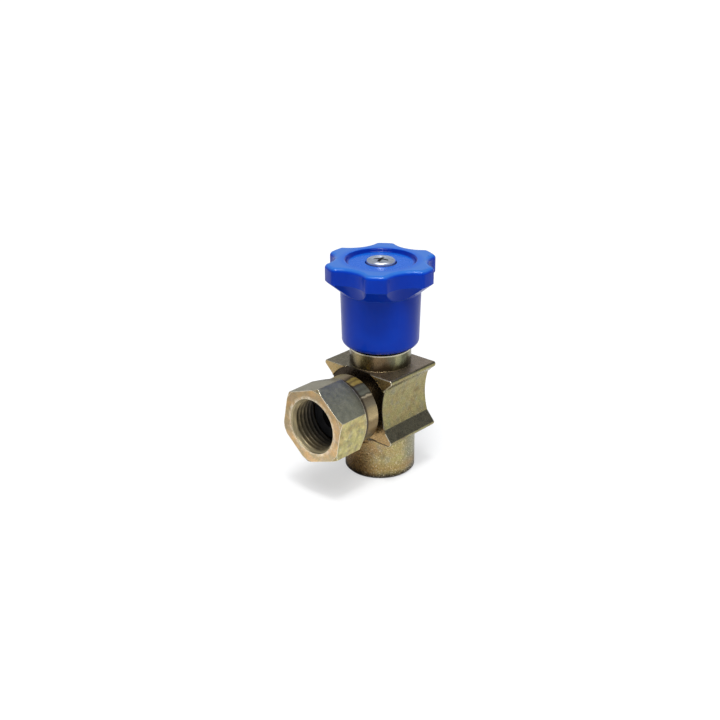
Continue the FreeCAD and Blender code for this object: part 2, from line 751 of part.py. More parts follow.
def make_stem():
    """Rising stem: ball pocket, collar, polished shank, thread and square drive."""
    body = make_body("stem")
    turn_with_knob(body)
    pocket = S.ball_radius + S.ball_pocket_gap
    lip = ball_height - S.lip_drop
    lip_radius = pocket + S.lip_wall
    collar = lip_radius + S.stem_collar_step
    collar_start = lip + S.stem_collar_step * S.stem_collar_slope
    stem_collar_top = gland_floor - S.full_lift - S.lift_clearance
    screw_bottom = stem_top - S.screw_hole_depth
    clear_hole = S.screw_thread_radius + S.slide_gap
    thread_start = guide_top + S.stem_thread_gap
    revolve(body, "stem_turned", [
        (0, lip),
        (lip_radius, lip),
        (collar, collar_start),
        (collar, stem_collar_top),
        (S.stem_shank_radius, stem_collar_top + collar - S.stem_shank_radius),
        (S.stem_shank_radius, thread_start),
        (S.stem_thread_radius, thread_start),
        (S.stem_thread_radius, insert_bottom),
        (clear_hole, insert_bottom),
        (clear_hole, screw_bottom),
        (0, screw_bottom)])
    sketch = make_sketch(body, "drive_outline", role="XY_Plane", shift=(0, 0, insert_bottom))
    half = S.drive_flats / 2
    draw_outline(sketch, [(half, -half), (half, half), (-half, half), (-half, -half)])
    pad(body, "square_drive", sketch, stem_top - insert_bottom)
    turn_out(body, "screw_hole", [
        (0, screw_bottom), (S.screw_thread_radius, screw_bottom),
        (S.screw_thread_radius, insert_top), (0, insert_top)])
    turn_out(body, "ball_pocket", [
        (0, ball_height - pocket), (pocket, ball_height), (0, ball_height + pocket)],
        arcs={0: -pocket, 1: -pocket})
    return body


def make_knob():
    """Moulded star knob: a skirt over the bonnet and a head with six lobes."""
    body = make_body("knob")
    turn_with_knob(body)
    round_off = S.skirt_round.at_most(S.skirt_wall * ROUND_SHARE)
    dish_floor = knob_top - S.dish_depth
    dish_floor_radius = S.dish_radius - S.dish_slope
    well = washer_radius + S.well_gap
    turned = revolve(body, "knob_turned", [
        (skirt_bore, skirt_bottom),
        (skirt_radius - round_off, skirt_bottom),
        (skirt_radius, skirt_bottom + round_off),
        (skirt_top_radius, head_start),
        (S.lobe_radius, lobe_bottom),
        (S.lobe_radius, knob_top),
        (S.dish_radius, knob_top),
        (dish_floor_radius, dish_floor),
        (well, dish_floor),
        (well, insert_top),
        (0, insert_top),
        (0, insert_bottom),
        (skirt_bore, insert_bottom)],
        arcs={1: -round_off})
    rim = round_edges(body, "dish_rim", turned, S.dish_rim_round,
                      lambda edge: is_circle(edge, S.dish_radius, knob_top))
    round_edges(body, "dish_foot", rim, S.dish_floor_round,
                lambda edge: is_circle(edge, dish_floor_radius, dish_floor))
    cutter = S.scallop_radius
    wide = cutter + S.scallop_floor_radius - skirt_top_radius - S.scallop_margin
    above = knob_top + S.dish_depth
    scallop = turn_out(body, "scallop", [
        (0, head_start),
        (wide, head_start),
        (cutter, lobe_bottom),
        (cutter, above),
        (0, above)],
        shift=(S.scallop_floor_radius + cutter, 0, 0))
    star = polar(body, "scallops", scallop, S.lobe_count)
    round_lobes(body, star)
    sketch = make_sketch(body, "insert_socket_outline", role="XY_Plane",
                         shift=(0, 0, insert_bottom))
    draw_outline(sketch, hexagon(S.insert_flats + S.press_gap * 2))
    pocket_up(body, "insert_socket", sketch, S.insert_height)
    return body


def round_lobes(body, star):
    """Round the upright corners of the lobes, then the rim of the star's top."""
    low = lobe_bottom.value
    high = knob_top.value

    def upright_corner(edge):
        box = edge.BoundBox
        return runs_along(edge, "z") and box.ZMin > low - NEAR and box.ZMax > high - NEAR

    corners = round_edges(body, "lobe_corners", star, S.lobe_corner_round, upright_corner)
    dish_edge = S.dish_radius.value + S.dish_rim_round.value

    def top_edge(edge):
        if edge.BoundBox.ZMin < high - NEAR:
            return False
        middle = edge.valueAt((edge.FirstParameter + edge.LastParameter) / 2)
        return math.hypot(middle.x, middle.y) > dish_edge

    round_edges(body, "lobe_top_edge", corners, S.lobe_top_round, top_edge)


def make_knob_insert():
    """Metal hexagon moulded into the knob, with the square for the stem."""
    body = make_body("knob_insert")
    turn_with_knob(body)
    sketch = make_sketch(body, "insert_outline", role="XY_Plane", shift=(0, 0, insert_bottom))
    draw_outline(sketch, hexagon(S.insert_flats))
    half = S.drive_flats / 2 + S.press_gap
    draw_outline(sketch, [(half, -half), (half, half), (-half, half), (-half, -half)])
    pad(body, "insert_block", sketch, S.insert_height)
    return body


def make_screw():
    """Pan-head screw with a cross recess that holds the knob on the stem."""
    body = make_body("knob_screw")
    turn_with_knob(body)
    top = screw_seat + S.screw_head_height
    shank = S.screw_thread_radius - S.press_gap
    edge = S.screw_head_radius
    rise = S.screw_head_dome
    dome = (edge * edge + rise * rise) / (rise * 2)
    revolve(body, "screw_turned", [
        (0, screw_seat - S.screw_length),
        (shank, screw_seat - S.screw_length),
        (shank, screw_seat),
        (edge, screw_seat),
        (edge, top - rise),
        (0, top)],
        arcs={4: -dome})
    sketch = make_sketch(body, "recess_outline", role="XY_Plane",
                         shift=(0, 0, top - S.recess_depth))
    arm = S.recess_arm
    half = S.recess_width / 2
    draw_outline(sketch, [
        (arm, -half), (arm, half), (half, half), (half, arm), (-half, arm), (-half, half),
        (-arm, half), (-arm, -half), (-half, -half), (-half, -arm), (half, -arm), (half, -half)])
    pocket_up(body, "cross_recess", sketch, S.recess_depth + S.screw_head_dome)
    return body


def check(doc):
    """Stop on any object that failed and on any sub-part without a valid solid."""
    for thing in doc.Objects:
        bad = [word for word in thing.State if word in ("Invalid", "Error")]
        if bad:
            raise RuntimeError(f"{thing.Name} failed: {bad}")
    for body in bodies:
        if body.Shape.isNull() or not body.Shape.isValid():
            raise RuntimeError(f"{body.Label} has no valid shape")


make_valve_body()
make_valve_seat()
make_spigot()
make_swivel_nut()
make_gauge_side_rings()
make_bonnet()
make_gland_rings()
make_ball()
make_stem()
make_knob()
make_knob_insert()
ring("screw_washer", S.screw_thread_radius + S.slide_gap, washer_radius,
     insert_top, screw_seat)
make_screw()

doc.recompute()
check(doc)
os.makedirs("parts", exist_ok=True)
for body in bodies:
    body.Shape.exportStep(f"parts/{body.Label}.step")
    box = body.Shape.BoundBox
    print(f"{body.Label}: {len(body.Shape.Solids)} solid, {body.Shape.Volume:.1f} mm3, "
          f"z {box.ZMin:.2f} to {box.ZMax:.2f}")
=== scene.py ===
import math

import bmesh
import bpy
from mathutils import Matrix, Vector


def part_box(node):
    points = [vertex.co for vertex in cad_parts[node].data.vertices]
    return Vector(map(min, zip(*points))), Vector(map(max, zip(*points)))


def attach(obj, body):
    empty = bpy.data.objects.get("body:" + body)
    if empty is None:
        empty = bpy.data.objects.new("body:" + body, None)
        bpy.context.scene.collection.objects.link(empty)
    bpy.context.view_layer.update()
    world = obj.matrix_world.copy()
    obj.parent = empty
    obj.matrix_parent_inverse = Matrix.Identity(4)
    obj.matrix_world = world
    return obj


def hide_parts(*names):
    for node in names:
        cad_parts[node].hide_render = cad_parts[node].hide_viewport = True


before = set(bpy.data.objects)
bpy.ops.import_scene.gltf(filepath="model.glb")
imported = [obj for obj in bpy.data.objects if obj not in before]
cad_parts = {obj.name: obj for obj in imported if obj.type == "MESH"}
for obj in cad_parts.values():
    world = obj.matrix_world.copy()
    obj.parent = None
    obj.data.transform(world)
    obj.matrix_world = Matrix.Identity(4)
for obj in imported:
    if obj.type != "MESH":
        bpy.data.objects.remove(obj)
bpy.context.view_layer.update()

# Metres, in the frame's own axes: +Z up the stem, -Y out of the swivel nut.
MM = 0.001
FULL_TURN = 2 * math.pi

# Camera, as fitted to the photograph
AIM_POINT = Vector((0, 0, 50 * MM))
CAMERA_AZIMUTH = math.radians(40.67)
CAMERA_ELEVATION = math.radians(22.0)
CAMERA_ROLL = math.radians(0.32)
CAMERA_DISTANCE = 430 * MM
CLIP_START = 10 * MM
IMAGE_SIDE = 720
FOCAL_PIXELS = 1139.5
AIM_PIXEL = (380.47, 344.78)
SENSOR_WIDTH = 36.0

# Light: azimuth, elevation and width in degrees, then strength
KEY_LIGHT = (41, 72, 12, 1.4)
FILL_LIGHT = (41, 72, 44, 2.5)

# The floor: its size, its glow to the camera, and how near and how far from the part its
# reflection turns from pale to dark
FLOOR_HALF_SIDE = 3.0
FLOOR_GLOW = 0.545
FLOOR_NEAR = 0.15
FLOOR_FAR = 0.7

# G 1/2 thread: 14 to the inch, 55 degree flanks with round crests and roots
G_PITCH = 25.4 / 14 * MM
G_MAJOR = 10.4775 * MM
FLANK_ANGLE = math.radians(27.5)
G_DEPTH = 0.640327 * G_PITCH
G_ROUND = 0.137329 * G_PITCH
COUNTERSINK_DEPTH = 1.6 * MM
PORT_DEPTH = 14.0 * MM
THREAD_RUN_OUT = 0.3 * MM
THREAD_SPLIT = math.radians(50)
SPIGOT_LOW, SPIGOT_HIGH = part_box("swivel_spigot")
NUT_AXIS_HEIGHT = (SPIGOT_LOW.z + SPIGOT_HIGH.z) / 2
NUT_AXIS = (0, 0, NUT_AXIS_HEIGHT)

# The block's top and bottom, and the spot face round the spigot
BLOCK_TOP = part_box("valve_body")[1].z
BLOCK_BOTTOM = 17.0 * MM
SPOT_FACE = -12.55 * MM
SPOT_RADIUS = 15.3 * MM

# The nut: how far its ends lie from the stem's axis, the length of its collar, a radius
# just outside its bore and another further out in its wall
NUT_FRONT = -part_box("swivel_nut")[0].y
NUT_REAR = -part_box("swivel_nut")[1].y
COLLAR_LENGTH = 6.9 * MM
NUT_BORE_SIDE = 11.0 * MM
NUT_WALL_MIDDLE = 12.0 * MM

# The knob's top and the edge and floor of its dish
KNOB_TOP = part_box("knob")[1].z
DISH_RADIUS = 13.15 * MM
DISH_FLOOR = KNOB_TOP - 1.3 * MM

# The knob's screw: how its cross stands when the valve is shut, its M6 thread, its head,
# and how far the cross reaches out and down and leans in
SCREW_TURN = math.radians(20)
SCREW_CREST = 2.95 * MM
SCREW_ROOT = 2.46 * MM
SCREW_PITCH = 1.0 * MM
HEAD_HEIGHT = 3.9 * MM
HEAD_CROWN = 0.9 * MM
HEAD_SHOULDER = 1.0 * MM
HEAD_FOOT_ROUND = 0.25 * MM
HEAD_SPLIT = math.radians(32)
RECESS_REACH = 2.9 * MM
RECESS_DEPTH = 2.3 * MM
RECESS_LEAN = 0.55

# How far the marks of turning change along a ring, in metres a radian: next to nothing
RING_DRIFT = 0.00002


def rgb(red, green, blue):
    return (red, green, blue, 1.0)


# Yellow-passivated zinc, in linear colour
GOLD = rgb(0.56, 0.38, 0.16)
OLIVE = rgb(0.55, 0.51, 0.205)
# STRAW is painted highlight: on edges, on a line round the neck and round the nut's bore
STRAW = rgb(1.0, 0.93, 0.74)
BROWN = rgb(0.20, 0.105, 0.038)
SLATE = rgb(0.34, 0.37, 0.34)
ROSE = rgb(0.58, 0.37, 0.23)
PEWTER = rgb(0.62, 0.52, 0.345)
TAN = rgb(0.95, 0.62, 0.27)
LOW_BROWN = rgb(0.46, 0.28, 0.10)
# Near black, for painted shade in seams, bores, corners and hidden places
PAINTED_SHADE = rgb(0.032, 0.023, 0.017)
GILT = rgb(0.90, 0.64, 0.28)
UMBER = rgb(0.31, 0.185, 0.07)
MOSS = rgb(0.31, 0.30, 0.20)
TOP_BRIGHT = rgb(0.92, 0.70, 0.50)
# Painted glints on the boss
SPARKLE = rgb(1.0, 0.86, 0.60)
DARK_SLATE = rgb(0.046, 0.052, 0.046)
BLUE_GREY = rgb(0.335, 0.36, 0.285)
DRAB = rgb(0.345, 0.29, 0.165)
DULL_BRONZE = rgb(0.38, 0.315, 0.20)
BRIGHT_BRONZE = rgb(0.66, 0.42, 0.19)
PINK_BRONZE = rgb(0.62, 0.45, 0.33)

# Inside of a thread, with painted shade deep in and on faces that look up
THREAD_DARK = rgb(0.20, 0.16, 0.095)
THREAD_LIGHT = rgb(0.36, 0.29, 0.16)
THREAD_DEEP = rgb(0.05, 0.05, 0.052)
THREAD_CONE = rgb(0.50, 0.42, 0.25)
THREAD_SHADE = rgb(0.06, 0.05, 0.035)

# Blue plastic, from the painted shade of the dish's wall to the painted highlight of the
# edges, and the tint of its gloss
BLUE_WALL_SHADE = rgb(0.0001, 0.014, 0.24)
BLUE_DARK = rgb(0.0002, 0.033, 0.42)
BLUE = rgb(0.0004, 0.043, 0.49)
BLUE_TOP = rgb(0.005, 0.098, 0.50)
BLUE_RIM_SHEEN = rgb(0.035, 0.15, 0.49)
BLUE_EDGE = rgb(0.03, 0.14, 0.56)
BLUE_GLOSS = rgb(0.22, 0.5, 1.0)

# Paper of the floor: as the camera sees it, as it throws light on the part, and as the
# part's faces mirror it near the part and far from it
PAPER_DARK = rgb(0.37, 0.37, 0.373)
PAPER_LIGHT = rgb(0.385, 0.385, 0.385)
PAPER_THROWN = rgb(0.34, 0.34, 0.35)
PAPER_NEAR = rgb(0.70, 0.70, 0.70)
PAPER_FAR = rgb(0.29, 0.29, 0.30)

# Greys of the room that the part mirrors, from the horizon to straight above
ROOM_GREYS = [(0.0, 0.55), (0.25, 0.50), (0.42, 0.42), (0.52, 0.24), (0.75, 0.20), (1.0, 0.24)]

# Painted reflection round a turned piece, bands that stand for the surroundings it
# mirrors: place, then red, green and blue. They run over half a turn, and again over the
# other half.
COLLAR_REFLECTION_BANDS = [
    (0.0, 0.26, 0.19, 0.10), (0.04, 0.07, 0.05, 0.025), (0.06, 0.50, 0.37, 0.09),
    (0.085, 0.22, 0.15, 0.05), (0.105, 0.56, 0.41, 0.11), (0.125, 0.42, 0.29, 0.08),
    (0.14, 0.06, 0.05, 0.035), (0.165, 0.15, 0.155, 0.12), (0.20, 0.11, 0.105, 0.075),
    (0.235, 0.19, 0.195, 0.15), (0.255, 0.06, 0.055, 0.04), (0.267, 0.70, 0.60, 0.42),
    (0.282, 0.14, 0.11, 0.07), (0.36, 0.21, 0.17, 0.11), (0.39, 0.40, 0.30, 0.155),
    (0.47, 0.50, 0.37, 0.185), (0.50, 0.20, 0.13, 0.055), (0.56, 0.26, 0.17, 0.07),
    (0.66, 0.10, 0.07, 0.035), (0.85, 0.36, 0.31, 0.15), (1.0, 0.26, 0.19, 0.10),
]
NECK_REFLECTION_BANDS = [
    (0.0, 0.10, 0.09, 0.055), (0.18, 0.20, 0.19, 0.125), (0.225, 0.05, 0.055, 0.04),
    (0.26, 0.09, 0.11, 0.075), (0.30, 0.25, 0.26, 0.155), (0.35, 0.32, 0.32, 0.18),
    (0.39, 0.12, 0.12, 0.08), (0.43, 0.08, 0.085, 0.06), (0.475, 0.09, 0.065, 0.04),
    (0.53, 0.12, 0.08, 0.05), (0.585, 0.17, 0.105, 0.06), (0.64, 0.08, 0.056, 0.03),
    (0.70, 0.20, 0.18, 0.09), (0.77, 0.26, 0.21, 0.105), (0.83, 0.20, 0.18, 0.10),
    (0.89, 0.07, 0.06, 0.035), (1.0, 0.10, 0.09, 0.055),
]


def fill_ramp(made, stops):
    """Set the stops of a colour ramp from rows of place, red, green and blue."""
    elements = made.color_ramp.elements
    for index, (position, *color) in enumerate(stops):
        stop = elements[index] if index < 2 else elements.new(position)
        stop.position = position
        stop.color = rgb(*color)


class Graph:
    """A material's nodes. Each call returns the output that the next one takes."""

    def __init__(self, name):
        self.material = bpy.data.materials.new(name)
        self.material.use_nodes = True
        self.nodes = self.material.node_tree.nodes
        self.links = self.material.node_tree.links
        self.shader = self.nodes["Principled BSDF"]

    def put(self, socket, value):
        if isinstance(value, bpy.types.NodeSocket):
            self.links.new(value, socket)
        else:
            socket.default_value = value

    def node(self, kind, inputs, output=0, **settings):
        made = self.nodes.new("ShaderNode" + kind)
        for key, value in settings.items():
            setattr(made, key, value)
        for key, value in inputs.items():
            self.put(made.inputs[key], value)
        return made.outputs[output]

    def place(self):
        """The place on the piece, in its own axes."""
        return self.node("TexCoord", {}, output="Object")

    def split(self, vector):
        """A vector's X, Y and Z as three values."""
        made = self.nodes.new("ShaderNodeSeparateXYZ")
        self.links.new(vector, made.inputs[0])
        return tuple(made.outputs)

    def math(self, operation, first, second=0.0):
        return self.node("Math", {0: first, 1: second}, operation=operation)

    def times(self, *values):
        product = values[0]
        for value in values[1:]:
            product = self.math("MULTIPLY", product, value)
        return product

    def noise(self, vector, scale, detail=3.0, roughness=0.6, distortion=0.0):
        return self.node("TexNoise", {"Vector": vector, "Scale": scale, "Detail": detail,
                                      "Roughness": roughness, "Distortion": distortion})

    def cells(self, vector, scale):
        return self.node("TexVoronoi", {"Vector": vector, "Scale": scale})

    def between(self, value, low, high, to_low=0.0, to_high=1.0):
        """How far a value lies from low to high, as 0 to 1 or as to_low to to_high."""
        return self.node("MapRange", {"Value": value, "From Min": low, "From Max": high,
                                      "To Min": to_low, "To Max": to_high})

    def choose(self, mask, off, on):
        """One number where a mask is 0 and another where it is 1."""
        return self.between(mask, 0.0, 1.0, off, on)

    def inside(self, value, low, high, blur):
        """1 between two bounds and 0 outside them."""
        above = self.between(value, low - blur, low + blur)
        below = self.between(value, high + blur, high - blur)
        return self.times(above, below)

    def mix(self, amount, first, second):
        made = self.nodes.new("ShaderNodeMix")
        made.data_type = "RGBA"
        self.put(made.inputs[0], amount)
        self.put(made.inputs[6], first)
        self.put(made.inputs[7], second)
        return made.outputs[2]

    def scaled(self, color, amount):
        return self.node("VectorMath", {0: color, "Scale": amount}, operation="SCALE")

    def ramp(self, value, bands):
        """Colours along a value from 0 to 1."""
        made = self.nodes.new("ShaderNodeValToRGB")
        fill_ramp(made, bands)
        self.put(made.inputs[0], value)
        return made.outputs[0]

    def bump(self, height, distance, strength, below=None):
        inputs = {"Height": height, "Distance": distance, "Strength": strength}
        if below is not None:
            inputs["Normal"] = below
        return self.node("Bump", inputs)

    def distance(self, first, second):
        """Distance from an axis, for the two coordinates across it."""
        squares = [self.times(part, part) for part in (first, second)]
        return self.math("SQRT", self.math("ADD", *squares))

    def turned(self, axis, centre=(0, 0, 0)):
        """Coordinates of a turned piece: distance from its axis, place along it, and angle."""
        vector = self.node("VectorMath", {0: self.place(), 1: centre}, operation="SUBTRACT")
        x, y, z = self.split(vector)
        across, along = ((x, y), z) if axis == "Z" else ((x, z), y)
        return self.distance(*across), along, self.math("ARCTAN2", *across)

    def rings(self, radius, along, angle):
        """Coordinates that change across the marks of turning and hardly along them."""
        drift = self.times(angle, RING_DRIFT)
        return self.node("CombineXYZ", {"X": radius, "Y": along, "Z": drift})

    def soft_edges(self, radius, highlight_radius):
        """A normal that turns over the edges, and a mask that is 1 on them, for painted highlight.
        """
        soft = self.node("Bevel", {"Radius": radius}, samples=6)
        wide = self.node("Bevel", {"Radius": highlight_radius}, samples=6)
        flat = self.node("NewGeometry", {}, output="Normal")
        turn = self.node("VectorMath", {0: wide, 1: flat}, output="Value",
                         operation="DOT_PRODUCT")
        return soft, self.between(turn, 0.995, 0.95)

    def facing(self, direction):
        """How far the surface faces a direction of the piece, from -1 to 1."""
        normal = self.node("TexCoord", {}, output="Normal")
        return self.node("VectorMath", {0: normal, 1: direction}, output="Value",
                         operation="DOT_PRODUCT")

    def tones(self, scale, spread, dark, light):
        """Two colours that drift into each other over the surface."""
        tone = self.noise(self.place(), scale, 4.0)
        return self.mix(self.between(tone, 0.5 - spread, 0.5 + spread), dark, light)

    def grain(self, scale, depth, detail=3.0):
        """A fine grain, as a normal."""
        return self.bump(self.noise(self.place(), scale, detail), depth, 0.6)

    def gloss(self, scale, low, high):
        """Roughness that varies over the surface."""
        return self.between(self.noise(self.place(), scale), 0.3, 0.7, low, high)

    def finish(self, **inputs):
        names = {"color": "Base Color", "metallic": "Metallic", "rough": "Roughness",
                 "normal": "Normal", "coat": "Coat Weight", "coat_rough": "Coat Roughness",
                 "specular": "Specular IOR Level", "tint": "Specular Tint",
                 "glow": "Emission Color", "glow_strength": "Emission Strength"}
        for key, value in inputs.items():
            self.put(self.shader.inputs[names[key]], value)
        return self.material


class Coat:
    """Yellow-passivated zinc on one piece: its nodes and the colour painted so far. The coat
    runs gold to olive with the way a face turns, and grey on tops as a painted reflection,
    with soft patches of slate, rose and brown."""

    def __init__(self, name, patch_scale):
        self.graph = graph = Graph(name)
        self.place = graph.place()
        broad = graph.noise(self.place, patch_scale, 4.0, 0.55, 0.4)
        broad = graph.between(broad, 0.36, 0.64, -0.35, 0.35)
        # Gold on faces turned one way, olive on faces turned the other
        side = graph.between(graph.facing((0.707, 0.707, 0)), -0.75, 0.75)
        self.color = graph.mix(graph.math("ADD", side, broad), GOLD, OLIVE)
        mid = graph.between(graph.noise(self.place, patch_scale * 2.6), 0.50, 0.68)
        fine = graph.between(graph.noise(self.place, patch_scale * 9.0, 4.0, 0.7), 0.42, 0.70)
        self.paint(SLATE, mid, 0.40)
        self.paint(ROSE, fine, 0.38)
        # Painted reflection: grey on faces that look up
        self.paint(PEWTER, graph.between(graph.facing((0, 0, 1)), 0.25, 0.72, 0.0, 0.85))
        stain = graph.noise(self.place, patch_scale * 1.5, 5.0, 0.65)
        self.paint(BROWN, graph.between(stain, 0.54, 0.70), 0.5)
        cloud = graph.noise(self.place, patch_scale * 4.5, 4.0, 0.65)
        self.dim(graph.between(cloud, 0.3, 0.7, 0.84, 1.14))

    def paint(self, color, *masks):
        """Lay a colour over the others, as far as all the masks let it through."""
        self.color = self.graph.mix(self.graph.times(*masks), self.color, color)

    def dim(self, amount):
        """Make the colour darker, or brighter with an amount over 1."""
        self.color = self.graph.scaled(self.color, amount)


class ForgedCoat(Coat):
    """The coat on the forged and shot-blasted block, with painted shade on the machined spot face.
    """

    def __init__(self):
        """Find where on the block a place lies: height, front, boss and spot face."""
        super().__init__("forged_zinc", 130.0)
        graph = self.graph
        self.across, _, self.height = graph.split(self.place)
        self.radius, self.along, _ = graph.turned("Y", NUT_AXIS)
        ragged = graph.times(graph.noise(self.place, 260.0, 4.0, 0.7), 3.4 * MM)
        self.ragged_height = graph.math("SUBTRACT", self.height, ragged)
        self.on_boss = graph.between(self.height, BLOCK_BOTTOM - 0.1 * MM,
                                     BLOCK_BOTTOM - 0.6 * MM)
        self.front = graph.between(graph.facing((0, -1, 0)), 0.93, 0.98)
        # The boss's left side, which gets painted shade
        shaded_side = graph.between(graph.facing((-0.7, -0.7, 0)), 0.08, 0.60, 0.0, 0.92)
        self.shaded_side = graph.times(shaded_side, self.on_boss)
        # The upper part of the spot face, which gets painted shade
        near_axis = graph.between(self.radius, SPOT_RADIUS + 0.05 * MM, SPOT_RADIUS - 0.1 * MM)
        sunk = graph.inside(self.along, SPOT_FACE - 0.2 * MM, SPOT_FACE + 0.3 * MM, 0.1 * MM)
        upper = graph.between(self.height, NUT_AXIS_HEIGHT - 9 * MM, NUT_AXIS_HEIGHT - 3 * MM)
        self.machined = graph.times(near_axis, sunk, upper)

    def brighten_top(self):
        """The top face is brighter in patches, mostly on the right."""
        graph = self.graph
        brightened = graph.noise(self.place, 150.0, 4.0, 0.6, 0.5)
        to_right = graph.between(self.across, -8 * MM, 14 * MM, -0.12, 0.14)
        brightened = graph.between(graph.math("ADD", brightened, to_right), 0.45, 0.60, 0.0, 0.75)
        self.paint(TOP_BRIGHT, brightened, graph.between(graph.facing((0, 0, 1)), 0.9, 0.98))

    def colour_sides(self):
        """The boss gets painted shade, mossy grey on the right and umber on the left, and a
        brown band low down. The block's front is tan below and gilt on the far left."""
        graph = self.graph
        # Painted shade on the boss's right side
        right_side = graph.between(graph.facing((0.95, 0.3, 0)), 0.86, 0.98, 0.0, 0.8)
        self.paint(MOSS, right_side, self.on_boss)
        low_band = graph.inside(self.ragged_height, 0.6 * MM, 4.2 * MM, 1.8 * MM)
        self.paint(LOW_BROWN, low_band, 0.72)
        # Painted shade on the boss's left side
        self.paint(UMBER, self.shaded_side)
        low = graph.between(self.height, BLOCK_BOTTOM + 8 * MM, BLOCK_BOTTOM + 6 * MM,
                            0.0, 0.7)
        self.paint(TAN, self.front, low, graph.choose(self.on_boss, 1.0, 0.0))
        far_left = graph.between(self.across, -9 * MM, -13 * MM, 0.0, 0.55)
        self.paint(GILT, self.front, far_left)

    def shade_seams(self):
        """Painted shade where the block meets the boss and along the boss's foot. The block is
        darker than the boss as a whole."""
        graph = self.graph
        foot_line = graph.inside(self.height, BLOCK_BOTTOM - 0.05 * MM,
                                 BLOCK_BOTTOM + 0.4 * MM, 0.12 * MM)
        self.paint(PAINTED_SHADE, self.front, foot_line)
        self.dim(graph.choose(self.on_boss, 0.63, 0.82))
        under_block = graph.inside(self.height, BLOCK_BOTTOM - 0.85 * MM, BLOCK_BOTTOM,
                                   0.3 * MM)
        self.paint(PAINTED_SHADE, under_block, 0.95)
        self.paint(PAINTED_SHADE, graph.between(self.ragged_height, -0.7 * MM, 1.3 * MM, 0.98, 0.0))

    def darken_faces(self):
        """The slopes that face up and out get painted shade, and the upper part of the spot
        face gets painted shade that is nearly black."""
        graph = self.graph
        sideways = graph.math("ABSOLUTE", graph.facing((0.76, 0, 0)))
        upward = graph.facing((0, 0, 0.65))
        on_slope = graph.between(graph.math("ADD", sideways, upward), 0.93, 0.98, 0.0, 0.60)
        # Painted shade on the slopes
        self.paint(DARK_SLATE, on_slope)
        self.paint(PAINTED_SHADE, self.machined, 0.95)

    def paint_edge_highlights(self):
        """Painted highlight along the edges, but none on or beside the spot face and faint
        ones on the boss. Returns the soft normal and the edges' mask."""
        graph = self.graph
        soft, edge = graph.soft_edges(0.35 * MM, 0.42 * MM)
        lean = graph.math("ABSOLUTE", graph.facing((0, 1, 0)))
        on_block = graph.between(self.height, BLOCK_BOTTOM + 0.1 * MM,
                                 BLOCK_BOTTOM + 0.4 * MM, 0.0, 0.8)
        rounded = graph.times(graph.inside(lean, 0.35, 0.90, 0.08), on_block)
        edge = graph.math("MAXIMUM", edge, rounded)
        beside = graph.inside(self.radius, SPOT_RADIUS - 1.0 * MM, SPOT_RADIUS + 0.6 * MM,
                              0.15 * MM)
        near_front = graph.between(self.along, SPOT_FACE + 1.55 * MM, SPOT_FACE + 0.55 * MM)
        beside = graph.times(beside, near_front)
        dull = graph.math("MAXIMUM", self.machined, beside)
        dull = graph.math("MAXIMUM", dull, graph.times(self.on_boss, 0.7))
        # Painted highlight along the edges
        self.paint(STRAW, edge, graph.choose(dull, 0.75, 0.0))
        return soft, edge

    def paint_glints(self):
        """Painted glints, where tiny facets of the blasted skin would catch the light: most of
        them on the boss, but few on its shaded side or the spot face."""
        graph = self.graph
        glints = graph.between(graph.noise(self.place, 2200.0, 2.0, 0.5), 0.58, 0.68)
        hidden = graph.math("MAXIMUM", self.machined, self.shaded_side)
        self.paint(SPARKLE, glints, graph.choose(self.on_boss, 0.10, 0.54),
                   graph.choose(hidden, 1.0, 0.1))

    def finish(self):
        graph = self.graph
        self.brighten_top()
        self.colour_sides()
        self.shade_seams()
        self.darken_faces()
        soft, edge = self.paint_edge_highlights()
        self.paint_glints()
        grain = graph.noise(self.place, 2600.0)
        self.dim(graph.between(grain, 0.35, 0.75, 0.72, 1.22))
        scale = graph.noise(self.place, 420.0, 4.0)
        normal = graph.bump(scale, 0.20 * MM, graph.choose(edge, 0.4, 0.08), soft)
        pits = graph.cells(self.place, 1500.0)
        normal = graph.bump(pits, 0.10 * MM, graph.choose(self.on_boss, 0.35, 0.95), normal)
        normal = graph.bump(grain, 0.08 * MM, 0.5, normal)
        return graph.finish(color=self.color, metallic=0.95, normal=normal,
                            rough=graph.gloss(900.0, 0.22, 0.38))


class TurnedCoat(Coat):
    """The coat on a turned piece, with fine rings round the piece's axis."""

    def __init__(self, name, axis, centre=(0, 0, 0)):
        super().__init__(name, 150.0)
        graph = self.graph
        self.radius, self.along, self.angle = graph.turned(axis, centre)
        rings = graph.rings(self.radius, self.along, self.angle)
        self.lines = graph.noise(rings, 9000.0, 3.0, 0.65)
        self.broad_lines = graph.noise(rings, 1600.0, 2.0, 0.5)

    def reflection_bands(self, bands, shift, wander):
        """Bands of painted reflection across the piece, with edges that wander along it."""
        graph = self.graph
        uneven = graph.between(graph.noise(self.place, 260.0), 0.3, 0.7, -wander, wander)
        turn = graph.math("ADD", graph.math("DIVIDE", self.angle, math.pi), shift)
        turn = graph.math("FRACT", graph.math("ADD", turn, uneven))
        return graph.ramp(turn, bands)

    def finish(self, edge_radius, highlight_radius, edge_light, rough, metallic=0.97, bright=1.0):
        graph = self.graph
        self.dim(graph.between(self.lines, 0.3, 0.7, 0.88 * bright, 1.06 * bright))
        grain = graph.noise(self.place, 2300.0, 4.0, 0.7)
        self.dim(graph.between(grain, 0.35, 0.70, 0.80, 1.16))
        soft, edge = graph.soft_edges(edge_radius, highlight_radius)
        # Painted highlight along the edges
        self.paint(STRAW, edge, edge_light)
        normal = graph.bump(self.lines, 0.010 * MM, 0.5, soft)
        normal = graph.bump(self.broad_lines, 0.03 * MM, 0.4, normal)
        normal = graph.bump(grain, 0.035 * MM, 0.6, normal)
        return graph.finish(color=self.color, metallic=metallic, normal=normal,
                            rough=graph.gloss(700.0, rough, rough + 0.14))


